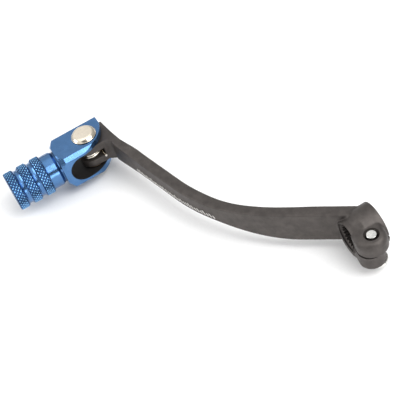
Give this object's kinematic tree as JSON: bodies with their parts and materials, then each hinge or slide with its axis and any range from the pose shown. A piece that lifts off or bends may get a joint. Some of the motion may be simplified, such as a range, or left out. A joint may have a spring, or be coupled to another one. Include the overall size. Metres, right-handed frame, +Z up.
{
  "type": "gear shift lever",
  "caption": "Forged motorcycle gear shift lever with a split splined clamp and a sprung, folding, knurled toe tip.",
  "frame": {"origin": "centre of the splined bore", "axes": "+X forward, towards the toe tip; +Y outboard, along the bore and the peg; +Z up, along the pivot pin"},
  "size_m": [0.146, 0.1167, 0.0241],
  "materials": {
    "lever_arm": "forged, satin dark grey anodised",
    "toe_tip": "machined, blue anodised",
    "pivot_pin": "polished stainless",
    "pivot_bush": "sintered bronze",
    "thrust_washers": "bronze",
    "torsion_spring": "bright drawn wire",
    "pin_fasteners": "zinc plated",
    "pinch_bolt": "zinc plated"
  },
  "bodies": {
    "arm": {"lever_arm": "lever_arm", "pivot_bush": "pivot_bush", "torsion_spring": "torsion_spring", "pinch_bolt": "pinch_bolt"},
    "tip": {"toe_tip": "toe_tip", "pivot_pin": "pivot_pin", "upper_thrust_washer": "thrust_washers", "lower_thrust_washer": "thrust_washers", "pin_washer": "pin_fasteners", "retaining_ring": "pin_fasteners"}
  },
  "joints": [
    {"name": "tip_fold", "type": "hinge", "parent": "arm", "child": "tip", "pos_m": [0.121, 0.069, 0], "axis": [0, 0, 1], "range_deg": [0, 85], "stiffness_Nm_per_rad": 0.12, "springref_deg": -57.3, "deforming": ["torsion_spring"]}
  ]
}
